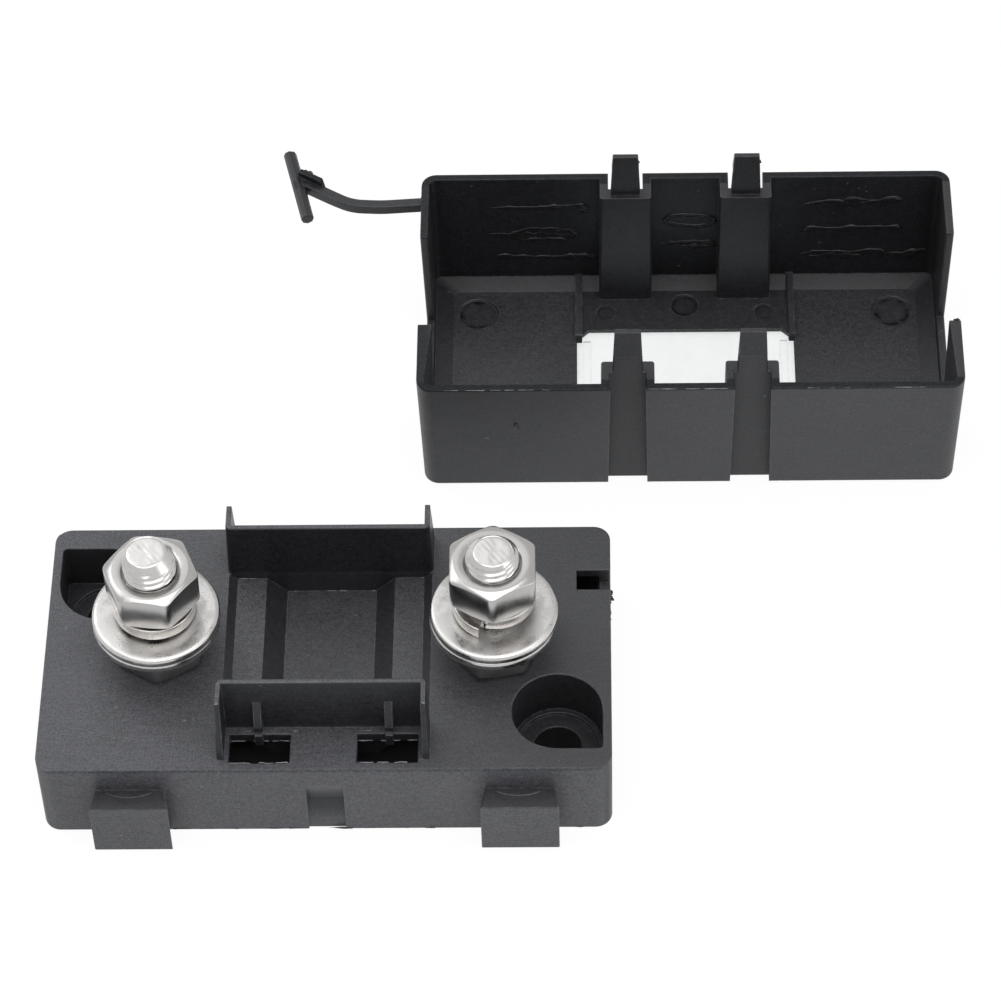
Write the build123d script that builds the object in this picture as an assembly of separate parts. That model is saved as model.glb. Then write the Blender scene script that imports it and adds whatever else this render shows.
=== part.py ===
from build123d import *
import math
import os

# A bolt-down holder for one blade fuse on two M8 studs, in millimetres.
# The base lies flat with its underside on Z = 0, centred between the studs.
# The studs stand along X, and the finger slots lie towards -Y and +Y.
# The cover has been lifted off: it lies upside down behind the base, to the right.

# Studs and their hardware
stud_pitch = 51.0
thread_diameter = 8.0
bolt_length = 30.0
bolt_head_height = 5.3
bolt_end_chamfer = 0.9
hex_across_flats = 12.75
hex_corner_trim = 0.975
hex_face_share = 0.905
hex_bevel_angle = 22.0
nut_height = 6.5
nut_mouth = 0.4
thread_clearance = 0.05
washer_diameter = 19.4
washer_bore = 8.4
washer_thickness = 1.4
washer_edge = 0.25
washer_play = 0.1
spring_washer_width = 2.1
spring_washer_thickness = 2.1
left_spring_washer_rise = 1.3
right_spring_washer_rise = 2.7
spring_washer_gap_angle = 14.0
spring_washer_bore = 8.3
right_spring_washer_gap_direction = -104.0
left_spring_washer_gap_direction = 62.0
left_clamp_nut_turn = -7.0
right_clamp_nut_turn = 30.0
left_seat_nut_turn = 30.0
right_seat_nut_turn = 10.0

# Base, an open-bottomed moulding
base_length = 86.2
base_width = 46.0
base_height = 15.5
base_corner_radius = 2.6
base_wall = 1.8
deck_thickness = 1.7
base_rib = 1.4
base_rib_lift = 1.5

# Bosses that hold the bolt heads captive from below
stud_boss_diameter = 19.0
bolt_hole_clearance = 0.1
head_clearance = 0.15
head_seat_height = 8.6

# Fuse trough between the two retaining walls
trough_top_half = 15.7
trough_shoulder_half = 14.4
trough_ramp_half = 9.9
trough_floor_half = 6.9
trough_shoulder_depth = 1.1
trough_floor_depth = 4.3
trough_half_width = 14.0

# Retaining walls, U shaped in plan, with their wings pointing outwards
retainer_height = 10.9
retainer_thickness = 1.2
retainer_top_thickness = 0.85
retainer_half_length = 15.9
retainer_end_draft = 0.3
wing_thickness = 1.1
wing_reach = 6.0
wing_top_reach = 3.6
retainer_corner = 0.8
gusset_thickness = 1.2
gusset_height = 6.3
gusset_reach = 2.0
gusset_drop = 1.9

# Latch: slots in the base, and the fingers and pillars of the cover
latch_spacing = 19.6
slot_width = 9.05
slot_shift = 0.22
slot_inner_offset = 16.5
slot_outer_offset = 21.7
catch_depth = 2.9
catch_height = 1.3
catch_overlap = 0.65
catch_width = 6.8

# Slot for the end of the cover's strap
strap_slot_offset = 12.5
strap_slot_width = 3.65
strap_slot_length = 3.7
strap_slot_wall = 1.5
strap_notch_depth = 3.0

# Screw pockets in two opposite corners
screw_offset_x = 34.9
screw_offset_y = 12.4
screw_hole_diameter = 7.1
pocket_diameter = 13.6
pocket_floor_height = 6.8
pocket_wall = 1.5
pocket_corner_radius = 0.6
spotface_diameter = 11.8
spotface_depth = 0.4
screw_boss_diameter = 11.2

# Dovetail tabs and the small recess on the front wall
tab_spacing = 58.5
tab_root_width = 10.4
tab_end_width = 11.8
tab_reach = 3.65
tab_height = 10.5
recess_width = 5.6
recess_top = 11.4
recess_fold = 6.8
recess_step = 2.6
recess_depth = 1.2
recess_step_depth = 0.35
recess_backing = 1.0

# Cover, a tray with its plate on the ground and its rim up
cover_centre_x = 55.9
cover_centre_y = 66.4
cover_width = 46.6
cover_height = 24.6
cover_end_draft = 0.5
cover_side_draft = 1.05
cover_corner_radius = 2.4
cover_wall = 1.3
cover_plate = 1.4
cover_edge_radius = 0.7
border_width = 2.9
border_height = 0.8
cable_opening_width = 18.6
cable_opening_sill = 4.4

# Pillars with their outside channels, and the snap fingers
pillar_width = 8.4
pillar_foot_width = 8.8
pillar_offset = 17.5
pillar_foot_offset = 16.2
pillar_corner_radius = 0.5
channel_width = 5.6
channel_foot_width = 6.3
channel_foot_depth = 1.6
finger_inner_offset = 18.3
finger_thickness = 1.5
finger_root_width = 4.9
finger_tip_width = 4.1
finger_length = 8.7
finger_lean = 0.2
finger_root_depth = 1.0
finger_tip_thickness = 0.9
hook_height = 4.5
hook_land = 0.25

# Window in the cover's plate, and the clear pane that closes it
window_length = 35.8
window_width = 18.9
window_corner = 2.0
window_ledge = 1.0
pane_thickness = 0.5
pane_clearance = 0.1
pane_band_inset = 1.1
pane_band_width = 1.15
pane_band_height = 0.35
window_rib_offset = 17.6
window_rib_thickness = 1.15
window_rib_height = 1.2
window_rib_end = 6.2

# Ejector marks in the cover's floor
corner_mark_diameter = 6.4
corner_mark_x = 34.35
corner_mark_y = 13.2
pillar_mark_diameter = 3.1
pillar_mark_x = 13.1
pillar_mark_y = 13.4
middle_mark_diameter = 4.7
middle_mark_y = 14.8
mark_depth = 0.25

# Strap moulded to the cover's left wall, ending in a cross bar
strap_width = 1.7
strap_thickness = 1.8
strap_below_rim = 0.5
strap_root_y = 17.85
strap_bends = [(6.4, -0.5), (11.5, -0.2)]
strap_bend_radii = [20.0, 8.0]
strap_end = (20.5, 5.4)
strap_bar_centre = (20.2, 4.2)
strap_bar_length = 14.9
strap_bar_diameter = 2.2
strap_bar_turn = 103.5
strap_fin_turn = -31.5
strap_fin_reach = 4.9
strap_fin_height = 1.1
strap_fin_thickness = 0.9

overshoot = 1.0

deck_underside = base_height - deck_thickness
latch_x = latch_spacing / 2
thread_radius = thread_diameter / 2
finger_outer_offset = finger_inner_offset + finger_thickness
seat_nut_top = base_height + nut_height
lower_washer_top = seat_nut_top + washer_thickness
upper_washer_base = lower_washer_top + washer_play
upper_washer_top = upper_washer_base + washer_thickness


def yz_profile(points, width):
    """Extrudes an outline given as (Y, Z) points along X, evenly about X = 0."""
    face = Plane.YZ * make_face(Polyline(*points, close=True))
    return extrude(face, width / 2, both=True)


def xz_profile(points, half_width):
    """Extrudes an outline given as (X, Z) points along Y, evenly about Y = 0."""
    face = Plane.XZ * make_face(Polyline(*points, close=True))
    return extrude(face, half_width, both=True)


def block(x_low, x_high, y_low, y_high, z_low, z_high):
    """A plain box between its low and high corners."""
    corner = (Align.MIN, Align.MIN, Align.MIN)
    return Pos(x_low, y_low, z_low) * Box(x_high - x_low, y_high - y_low, z_high - z_low, align=corner)


def post(diameter, z_low, z_high, x=0.0, y=0.0):
    """An upright cylinder."""
    seat = (Align.CENTER, Align.CENTER, Align.MIN)
    return Pos(x, y, z_low) * Cylinder(diameter / 2, z_high - z_low, align=seat)


def hex_prism(height, bevel_foot, bevel_top):
    """A hexagon of the nut size with trimmed corners, turned off at the faces asked for."""
    corner_radius = hex_across_flats / 2 / math.cos(math.radians(30))
    prism = extrude(RegularPolygon(corner_radius, 6), height)
    rim = corner_radius * hex_corner_trim
    face = hex_across_flats / 2 * hex_face_share
    bevel = (rim - face) * math.tan(math.radians(hex_bevel_angle))
    outline = [(0, 0)]
    outline += [(face, 0), (rim, bevel)] if bevel_foot else [(rim, 0)]
    outline += [(rim, height - bevel), (face, height)] if bevel_top else [(rim, height)]
    outline.append((0, height))
    envelope = revolve(Plane.XZ * make_face(Polyline(*outline, close=True)), Axis.Z)
    return prism & envelope


def nut():
    """A hexagon nut, with its bore opened out at both faces."""
    bore_radius = thread_radius + thread_clearance
    mouth = bore_radius + nut_mouth
    blank = hex_prism(nut_height, True, True)
    bore = [(0, 0), (mouth, 0), (bore_radius, mouth - bore_radius),
            (bore_radius, nut_height - mouth + bore_radius), (mouth, nut_height), (0, nut_height)]
    return blank - revolve(Plane.XZ * make_face(Polyline(*bore, close=True)), Axis.Z)


def bolt():
    """A hexagon bolt that stands on its head, from the underside of its head upwards."""
    shank = Cylinder(thread_radius, bolt_length, align=(Align.CENTER, Align.CENTER, Align.MIN))
    shank = chamfer(shank.edges().group_by(Axis.Z)[-1], bolt_end_chamfer)
    head = Pos(0, 0, -bolt_head_height) * hex_prism(bolt_head_height, True, False)
    return shank + head


def washer():
    """A flat washer with slightly broken edges."""
    disc = Cylinder(washer_diameter / 2, washer_thickness, align=(Align.CENTER, Align.CENTER, Align.MIN))
    disc = chamfer(disc.edges().filter_by(GeomType.CIRCLE), washer_edge)
    return disc - post(washer_bore, -overshoot, washer_thickness + overshoot)


def spring_washer(gap_direction, rise):
    """One coil of square section, left-handed, with its split centred on gap_direction."""
    turn = 1 - spring_washer_gap_angle / 360
    radius = (spring_washer_bore + spring_washer_width) / 2
    path = Helix(rise / turn, rise, radius, lefthand=True)
    section = Plane(origin=path @ 0, z_dir=(0, -1, 0), x_dir=(1, 0, 0)) * Rectangle(
        spring_washer_width, spring_washer_thickness)
    coil = sweep(section, path, is_frenet=True)
    start = gap_direction - spring_washer_gap_angle / 2
    return Pos(0, 0, spring_washer_thickness / 2) * Rot(0, 0, start) * coil


def trough_profile():
    """The sunk cross-section under the fuse: two shoulders, two ramps and a floor."""
    shoulder = base_height - trough_shoulder_depth
    floor = base_height - trough_floor_depth
    right = [(trough_floor_half, floor), (trough_ramp_half, shoulder),
             (trough_shoulder_half, shoulder), (trough_top_half, base_height)]
    over = [(trough_top_half, base_height + overshoot), (-trough_top_half, base_height + overshoot)]
    return right + over + [(-x, z) for x, z in reversed(right)]


def retainer():
    """The +Y retaining wall: a web along X, two wings and the gussets behind the fingers."""
    foot = base_height - overshoot / 2
    top = base_height + retainer_height
    inner = trough_half_width
    outer = inner + retainer_thickness
    thinning = (retainer_thickness - retainer_top_thickness) / 2
    web = yz_profile([(inner, foot), (outer, foot), (outer - thinning, top), (inner + thinning, top)],
                     2 * retainer_half_length)
    wing = yz_profile([(inner, foot), (outer + wing_reach, foot), (outer + wing_reach, base_height),
                       (outer + wing_top_reach, top), (inner + thinning, top)], wing_thickness)
    wing_x = retainer_half_length - wing_thickness / 2
    wall = web + Pos(wing_x, 0, 0) * wing + Pos(-wing_x, 0, 0) * wing
    ends = [(-retainer_half_length, foot), (retainer_half_length, foot),
            (retainer_half_length - retainer_end_draft, top), (retainer_end_draft - retainer_half_length, top)]
    wall &= xz_profile(ends, base_width)
    corners = [e for e in wall.edges().filter_by(lambda e: abs((e % 0.5).Z) > 0.9)
               if abs(abs(e.center().X) - retainer_half_length) < retainer_end_draft and e.center().Y < outer]
    wall = fillet(corners, retainer_corner)
    rib_top = base_height + gusset_height
    rib_foot = base_height - gusset_drop
    rib = yz_profile([(outer - retainer_thickness / 2, rib_top), (outer - thinning / 2, rib_top),
                      (outer + gusset_reach, base_height + 0.5), (outer + gusset_reach, rib_foot),
                      (outer - retainer_thickness / 2, rib_foot)], gusset_thickness)
    return wall + Pos(latch_x, 0, 0) * rib + Pos(-latch_x, 0, 0) * rib


def screw_pocket_cut():
    """The -Y, +X pocket: a round sink that runs out square towards the corner."""
    radius = pocket_diameter / 2
    square = RectangleRounded(pocket_diameter, pocket_diameter, pocket_corner_radius)
    corner = Pos(radius / 2, -radius / 2) * Rectangle(radius, radius)
    plan = Circle(radius) + (square & corner)
    sink = extrude(plan, base_height - pocket_floor_height + overshoot)
    cut = Pos(screw_offset_x, -screw_offset_y, pocket_floor_height) * sink
    cut += post(spotface_diameter, pocket_floor_height - spotface_depth, base_height,
                screw_offset_x, -screw_offset_y)
    return cut + post(screw_hole_diameter, -overshoot, base_height, screw_offset_x, -screw_offset_y)


def screw_pocket_body():
    """The cup round the pocket, standing on the boss round the screw hole."""
    radius = pocket_diameter / 2 + pocket_wall
    cup_floor = pocket_floor_height - spotface_depth - pocket_wall
    cup = Circle(radius) + Pos(radius / 2, -radius / 2) * Rectangle(radius, radius)
    cup = extrude(cup, deck_underside - cup_floor + overshoot / 2)
    body = Pos(screw_offset_x, -screw_offset_y, cup_floor) * cup
    return body + post(screw_boss_diameter, 0, cup_floor + overshoot / 2, screw_offset_x, -screw_offset_y)


def dovetail_tab():
    """A front tab that widens away from the wall."""
    wall = -base_width / 2
    root = tab_root_width / 2
    end = tab_end_width / 2
    slope = (end - root) / tab_reach
    inside = root - slope * base_wall / 2
    plan = Polyline((-inside, wall + base_wall / 2), (inside, wall + base_wall / 2),
                    (end, wall - tab_reach), (-end, wall - tab_reach), close=True)
    return extrude(make_face(plan), tab_height)


def front_recess():
    """The folded recess in the middle of the front wall."""
    wall = -base_width / 2
    return yz_profile([(wall - overshoot, recess_top), (wall, recess_top), (wall + recess_depth, recess_fold),
                       (wall + recess_step_depth, recess_step), (wall + recess_step_depth, -overshoot),
                       (wall - overshoot, -overshoot)], recess_width)


def base():
    """The moulded base: deck, skirt, trough, retaining walls, pockets, bosses and ribs."""
    half_length = base_length / 2
    half_width = base_width / 2
    outside = extrude(RectangleRounded(base_length, base_width, base_corner_radius), base_height)
    inner_radius = max(base_corner_radius - base_wall, 0.4)
    hollow = extrude(RectangleRounded(base_length - 2 * base_wall, base_width - 2 * base_wall, inner_radius),
                     deck_underside + overshoot)
    shell = outside - Pos(0, 0, -overshoot) * hollow

    pan_half = trough_half_width + base_wall
    shoulder = base_height - trough_shoulder_depth
    floor = base_height - trough_floor_depth
    pan = [(-trough_top_half - deck_thickness, base_height - deck_thickness / 2),
           (-trough_top_half - deck_thickness, shoulder - deck_thickness),
           (-trough_ramp_half - deck_thickness / 2, shoulder - deck_thickness),
           (-trough_floor_half - deck_thickness / 2, floor - deck_thickness)]
    pan += [(-x, z) for x, z in reversed(pan)]
    shell += xz_profile(pan, pan_half)

    inside = half_width - base_wall / 2
    for side in (-1, 1):
        shell += post(stud_boss_diameter, 0, deck_underside + deck_thickness / 2, side * stud_pitch / 2)
        rib_x = side * stud_pitch / 2
        shell += block(rib_x - base_rib / 2, rib_x + base_rib / 2, -inside, inside,
                       base_rib_lift, deck_underside + deck_thickness / 2)
    shell += block(-half_length + base_wall / 2, half_length - base_wall / 2, -base_rib / 2, base_rib / 2,
                   base_rib_lift, floor - deck_thickness / 2)
    shell += block(-recess_width / 2 - recess_backing, recess_width / 2 + recess_backing, -inside,
                   -half_width + base_wall + recess_backing, 0, recess_top + recess_backing)
    for turn in (0, 180):
        shell += Rot(0, 0, turn) * screw_pocket_body() & outside

    shell -= xz_profile(trough_profile(), trough_half_width)
    for turn in (0, 180):
        shell += Rot(0, 0, turn) * retainer()
        shell -= Rot(0, 0, turn) * screw_pocket_cut()

    slot_middle = (slot_inner_offset + slot_outer_offset) / 2
    slot_depth = slot_outer_offset - slot_inner_offset
    catch_edge = finger_outer_offset + catch_overlap / 4
    for side_x in (-1, 1):
        for side_y in (-1, 1):
            rib_face = trough_half_width + retainer_thickness + gusset_reach
            shell -= Pos(side_x * (latch_x - slot_shift), side_y * slot_middle, base_height) * Box(
                slot_width, slot_depth, 2 * deck_thickness)
            shell += Pos(side_x * latch_x, 0, 0) * block(
                -gusset_thickness / 2, gusset_thickness / 2,
                *sorted((side_y * (slot_inner_offset - overshoot / 2), side_y * rib_face)),
                base_height - gusset_drop, base_height + 0.5)
            shell += Pos(side_x * latch_x, 0, 0) * block(
                -catch_width / 2, catch_width / 2, *sorted((side_y * catch_edge, side_y * inside)),
                base_height - catch_depth - catch_height, base_height - catch_depth)

    notch_x = half_length - strap_slot_wall
    notch_low = strap_slot_offset - strap_slot_width / 2
    notch_high = strap_slot_offset + strap_slot_width / 2
    shell -= block(notch_x - strap_slot_length, notch_x, notch_low, notch_high,
                   base_height - strap_notch_depth, base_height + overshoot)
    shell -= block(notch_x - overshoot / 2, half_length + overshoot, notch_low, notch_high,
                   base_height - strap_notch_depth, base_height + overshoot)

    for side in (-1, 1):
        shell += Pos(side * tab_spacing / 2, 0, 0) * dovetail_tab()
        centre = side * stud_pitch / 2
        shell -= post(thread_diameter + 2 * bolt_hole_clearance, -overshoot, base_height + overshoot, centre)
        pocket_radius = (hex_across_flats / 2 + head_clearance) / math.cos(math.radians(30))
        head_pocket = extrude(RegularPolygon(pocket_radius, 6), head_seat_height + overshoot)
        shell -= Pos(centre, 0, -overshoot) * head_pocket
    return shell - front_recess()


def tapered_block(length_low, width_low, z_low, length_high, width_high, z_high, radius):
    """A rounded rectangle drawn out between two heights."""
    low = Pos(0, 0, z_low) * RectangleRounded(length_low, width_low, radius)
    high = Pos(0, 0, z_high) * RectangleRounded(length_high, width_high, radius)
    return loft([low, high])


def pillar():
    """One +Y pillar before its channel is cut, standing on the plate."""
    outer = cover_width / 2 - cover_wall / 2
    foot_outer = outer - cover_side_draft
    slope = (pillar_offset - pillar_foot_offset) / cover_height
    side = yz_profile([(pillar_foot_offset, 0), (foot_outer, 0), (outer, cover_height),
                       (pillar_foot_offset + slope * cover_height, cover_height)], pillar_foot_width)
    front = [(-pillar_foot_width / 2, 0), (pillar_foot_width / 2, 0),
             (pillar_width / 2, cover_height), (-pillar_width / 2, cover_height)]
    body = side & xz_profile(front, cover_width)
    corners = [e for e in body.edges().filter_by(lambda e: abs((e % 0.5).Z) > 0.9) if e.center().Y < pillar_offset]
    return fillet(corners, pillar_corner_radius)


def channel():
    """The outside channel of one +Y pillar, whose back runs on into the finger's face."""
    outer = cover_width / 2 + overshoot
    foot_back = cover_width / 2 - cover_side_draft - channel_foot_depth
    side = yz_profile([(foot_back, 0), (outer, 0), (outer, cover_height), (finger_outer_offset, cover_height)],
                      channel_foot_width)
    front = [(-channel_foot_width / 2, 0), (channel_foot_width / 2, 0),
             (channel_width / 2, cover_height), (-channel_width / 2, cover_height)]
    cut = side & xz_profile(front, cover_width)
    floor_cut = block(-channel_foot_width / 2, channel_foot_width / 2, foot_back, outer, -overshoot, 0)
    rim_cut = block(-channel_width / 2, channel_width / 2, finger_outer_offset, outer,
                    cover_height, cover_height + overshoot)
    return cut + floor_cut + rim_cut


def finger():
    """One +Y snap finger, rising past the rim to a barb that points outwards."""
    root = cover_height - finger_root_depth
    tip = cover_height + finger_length
    barb = cover_height + hook_height
    barb_edge = finger_outer_offset + catch_overlap + catch_overlap / 4
    side = yz_profile([(finger_inner_offset, root), (finger_outer_offset, root),
                       (finger_outer_offset, cover_height), (finger_outer_offset - finger_lean, barb),
                       (barb_edge, barb), (barb_edge, barb + hook_land),
                       (finger_inner_offset + finger_tip_thickness, tip), (finger_inner_offset, tip)],
                      finger_root_width)
    front = [(-finger_root_width / 2, root), (finger_root_width / 2, root),
             (finger_tip_width / 2, tip), (-finger_tip_width / 2, tip)]
    return side & xz_profile(front, cover_width)


def window_plan(grow):
    """The window's outline with its corners cut at 45 degrees, grown on every side."""
    return chamfer(Rectangle(window_length + 2 * grow, window_width + 2 * grow).vertices(), window_corner)


def strap():
    """The tether: a bent strip from the left wall, its cross bar and a fin along its back."""
    centre_z = cover_height - strap_below_rim - strap_thickness / 2
    wall_x = -base_length / 2
    root = (wall_x + cover_wall / 2, strap_root_y, centre_z)
    bends = [(wall_x - along, strap_root_y + across, centre_z) for along, across in strap_bends]
    end = (wall_x - strap_end[0], strap_root_y + strap_end[1], centre_z)
    path = FilletPolyline(root, *bends, end, radius=strap_bend_radii)
    section = Plane(origin=path @ 0, z_dir=path % 0, x_dir=(0, 0, 1)) * Rectangle(strap_thickness, strap_width)
    strip = sweep(section, path)
    bar = extrude(RegularPolygon(strap_bar_diameter / 2, 8), strap_bar_length / 2, both=True)
    bar_centre = (wall_x - strap_bar_centre[0], strap_root_y + strap_bar_centre[1], centre_z)
    bar = Pos(*bar_centre) * Rot(0, 0, strap_bar_turn) * Rot(0, 90, 0) * bar
    fin_top = strap_thickness / 2 + strap_fin_height
    fin = xz_profile([(0, 0), (strap_fin_reach, 0), (strap_fin_reach - strap_fin_height / 2, fin_top),
                      (0, fin_top)], strap_fin_thickness / 2)
    fin = Pos(*end) * Rot(0, 0, strap_fin_turn) * Pos(0, strap_width / 2, 0) * fin
    return strip + bar + fin


def cover():
    """The moulded cover, upside down: plate, walls, pillars, fingers, window and strap."""
    foot_length = base_length - 2 * cover_end_draft
    foot_width = cover_width - 2 * cover_side_draft
    tray = tapered_block(foot_length, foot_width, 0, base_length, cover_width, cover_height, cover_corner_radius)
    tray = fillet(tray.edges().group_by(Axis.Z)[0], cover_edge_radius)

    inner_radius = max(cover_corner_radius - cover_wall, 0.4)
    rim_length = base_length - 2 * cover_wall
    rim_width = cover_width - 2 * cover_wall
    floor_length = foot_length - 2 * cover_wall
    floor_width = foot_width - 2 * cover_wall
    knee = cover_plate + border_height
    hollow = tapered_block(floor_length, floor_width, knee, rim_length, rim_width,
                           cover_height + overshoot / 10, inner_radius)
    hollow += tapered_block(floor_length - 2 * border_width, floor_width - 2 * border_width, cover_plate,
                            floor_length, floor_width, knee, inner_radius)
    tray -= hollow

    half_opening = cable_opening_width / 2
    tray -= block(-base_length, base_length, -half_opening, half_opening,
                  cable_opening_sill, cover_height + overshoot)

    for side_x in (-1, 1):
        for turn in (0, 180):
            tray += Pos(side_x * latch_x, 0, 0) * Rot(0, 0, turn) * pillar()
    for side_x in (-1, 1):
        for turn in (0, 180):
            tray -= Pos(side_x * latch_x, 0, 0) * Rot(0, 0, turn) * channel()
            tray += Pos(side_x * latch_x, 0, 0) * Rot(0, 0, turn) * finger()

    rib_top = cover_plate + window_rib_height
    rib_outer = floor_width / 2 + cover_wall / 2
    for side_x in (-1, 1):
        rib = yz_profile([(window_rib_end, cover_plate / 2), (rib_outer, cover_plate / 2), (rib_outer, rib_top),
                          (window_rib_end + window_rib_height, rib_top)], window_rib_thickness)
        for turn in (0, 180):
            tray += Pos(side_x * window_rib_offset, 0, 0) * Rot(0, 0, turn) * rib
    rebate_depth = pane_thickness + pane_clearance / 2
    tray -= extrude(window_plan(0), cover_plate)
    tray -= Pos(0, 0, -overshoot) * extrude(window_plan(window_ledge), rebate_depth + overshoot)

    marks = [(corner_mark_x, corner_mark_y, corner_mark_diameter),
             (pillar_mark_x, pillar_mark_y, pillar_mark_diameter)]
    for x, y, diameter in marks:
        for side_x in (-1, 1):
            for side_y in (-1, 1):
                tray -= post(diameter, cover_plate - mark_depth, cover_plate + overshoot, side_x * x, side_y * y)
    for side_y in (-1, 1):
        tray -= post(middle_mark_diameter, cover_plate - mark_depth, cover_plate + overshoot,
                     0, side_y * middle_mark_y)
    return tray + strap()


def window_pane():
    """The clear pane, held in the rebate of the window with its outer face down."""
    face = window_plan(window_ledge - pane_clearance)
    pane = Pos(0, 0, pane_clearance / 2) * extrude(face, pane_thickness)
    band_x = window_length / 2 - pane_band_inset - pane_band_width / 2
    band_half = window_width / 2 - window_corner
    top = pane_clearance / 2 + pane_thickness
    for side in (-1, 1):
        pane += Pos(side * band_x, 0, 0) * block(-pane_band_width / 2, pane_band_width / 2,
                                                 -band_half, band_half, top, top + pane_band_height)
    return pane


cover_place = Pos(cover_centre_x, cover_centre_y, 0)
nodes = {
    "base": base(),
    "cover": cover_place * cover(),
    "window_pane": cover_place * window_pane(),
}
sides = {
    "left": (-stud_pitch / 2, left_seat_nut_turn, left_clamp_nut_turn,
             left_spring_washer_gap_direction, left_spring_washer_rise),
    "right": (stud_pitch / 2, right_seat_nut_turn, right_clamp_nut_turn,
              right_spring_washer_gap_direction, right_spring_washer_rise),
}
for side, (x, seat_turn, clamp_turn, gap_direction, rise) in sides.items():
    nodes["stud_" + side] = Pos(x, 0, head_seat_height) * bolt()
    nodes["seat_nut_" + side] = Pos(x, 0, base_height) * Rot(0, 0, seat_turn) * nut()
    nodes["lower_washer_" + side] = Pos(x, 0, seat_nut_top) * washer()
    nodes["upper_washer_" + side] = Pos(x, 0, upper_washer_base) * washer()
    nodes["spring_washer_" + side] = Pos(x, 0, upper_washer_top) * spring_washer(gap_direction, rise)
    clamp_foot = upper_washer_top + spring_washer_thickness + rise
    nodes["clamp_nut_" + side] = Pos(x, 0, clamp_foot) * Rot(0, 0, clamp_turn) * nut()

os.makedirs("parts", exist_ok=True)
for name, solid in nodes.items():
    export_step(solid, "parts/" + name + ".step")
    print(name, len(solid.solids()), round(solid.volume, 1))
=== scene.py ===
# %% [markdown]
# # A bolt-down fuse holder with its cover off
# The real thing is two charcoal mouldings and a handful of stainless hardware.
# The base carries two M8 studs, and the cover lies upside down behind it.
# The CAD model gives every place and size. This script gives the finishes,
# the real screw threads, the rounded edges and the small marks of moulding.
# Places are given in millimetres from the middle of the base's foot.

# %% Load the CAD frame
import random
from math import cos, pi, radians, sin, tan

import bmesh
import bpy
from mathutils import Matrix, Vector, noise
from mathutils.bvhtree import BVHTree
from mathutils.kdtree import KDTree


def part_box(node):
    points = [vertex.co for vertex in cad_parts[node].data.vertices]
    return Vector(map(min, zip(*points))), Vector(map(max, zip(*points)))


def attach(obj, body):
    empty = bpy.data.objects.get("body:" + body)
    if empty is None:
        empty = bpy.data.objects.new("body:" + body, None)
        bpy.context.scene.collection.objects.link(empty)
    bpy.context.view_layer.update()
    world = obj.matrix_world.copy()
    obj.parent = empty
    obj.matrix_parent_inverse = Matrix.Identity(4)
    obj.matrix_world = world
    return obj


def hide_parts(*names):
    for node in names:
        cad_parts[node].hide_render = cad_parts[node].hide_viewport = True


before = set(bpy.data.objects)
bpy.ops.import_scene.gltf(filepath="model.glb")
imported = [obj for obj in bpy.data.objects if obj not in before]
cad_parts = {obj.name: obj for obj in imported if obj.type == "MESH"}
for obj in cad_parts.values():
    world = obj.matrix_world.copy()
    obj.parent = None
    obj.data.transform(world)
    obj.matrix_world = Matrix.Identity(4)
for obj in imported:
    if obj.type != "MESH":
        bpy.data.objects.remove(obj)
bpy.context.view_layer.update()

MM = 0.001
DECK, TROUGH, BASE_FRONT = 15.5, 11.2, -23.0
COVER_X, COVER_Y, COVER_RIM, COVER_FRONT = 55.9, 66.4, 24.6, 43.1


def heights(node):
    """The lowest and highest level of a CAD node, in millimetres."""
    low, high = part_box(node)
    return low.z / MM, high.z / MM


def add_object(name, data):
    """Puts a new object in the scene."""
    made = bpy.data.objects.new(name, data)
    bpy.context.scene.collection.objects.link(made)
    return made


def mesh_of(name, shape):
    """A mesh of a bmesh whose points are in millimetres."""
    mesh = bpy.data.meshes.new(name)
    shape.to_mesh(mesh)
    shape.free()
    mesh.transform(Matrix.Scale(MM, 4))
    return mesh


# %% [markdown]
# ## The camera
# The photograph was taken with a long lens from 51 degrees above the table.
# That angle decides how round the washers look, so it was worked out first,
# from the corners of the base and the round screw pocket.

# %% Camera
SENSOR = 36.0
PICTURE = 1001
FOCAL_PIXELS = 4222.2
PITCH, YAW, ROLL = 0.89009, -0.03643, -0.03555
CAMERA_PLACE = (41.161, -386.653, 528.183)


def add_camera():
    """Looks down at the table through the lens that the photograph was taken with."""
    data = bpy.data.cameras.new("camera")
    data.sensor_width = SENSOR
    data.lens = FOCAL_PIXELS * SENSOR / PICTURE
    data.clip_start, data.clip_end = 0.01, 20
    ahead = cos(PITCH)
    forward = Vector((sin(YAW) * ahead, cos(YAW) * ahead, -sin(PITCH)))
    level = Vector((cos(YAW), -sin(YAW), 0))
    across = level * cos(ROLL) + level.cross(forward) * sin(ROLL)
    upward = across.cross(forward)
    turn = Matrix((across, upward, -forward)).transposed().to_4x4()
    camera = add_object("camera", data)
    camera.matrix_world = Matrix.Translation(Vector(CAMERA_PLACE) * MM) @ turn
    bpy.context.scene.camera = camera
    return camera


print("lens in mm", round(add_camera().data.lens, 1))

# %% [markdown]
# ## Shader maths as Python
# A finish is a sum of masks: grain, worn edges, rings left by a lathe.
# Written as nodes, a sum is a web of boxes. Here a small class wraps a socket,
# so that `1 - mask * 0.3` adds the Math nodes by itself.


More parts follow.
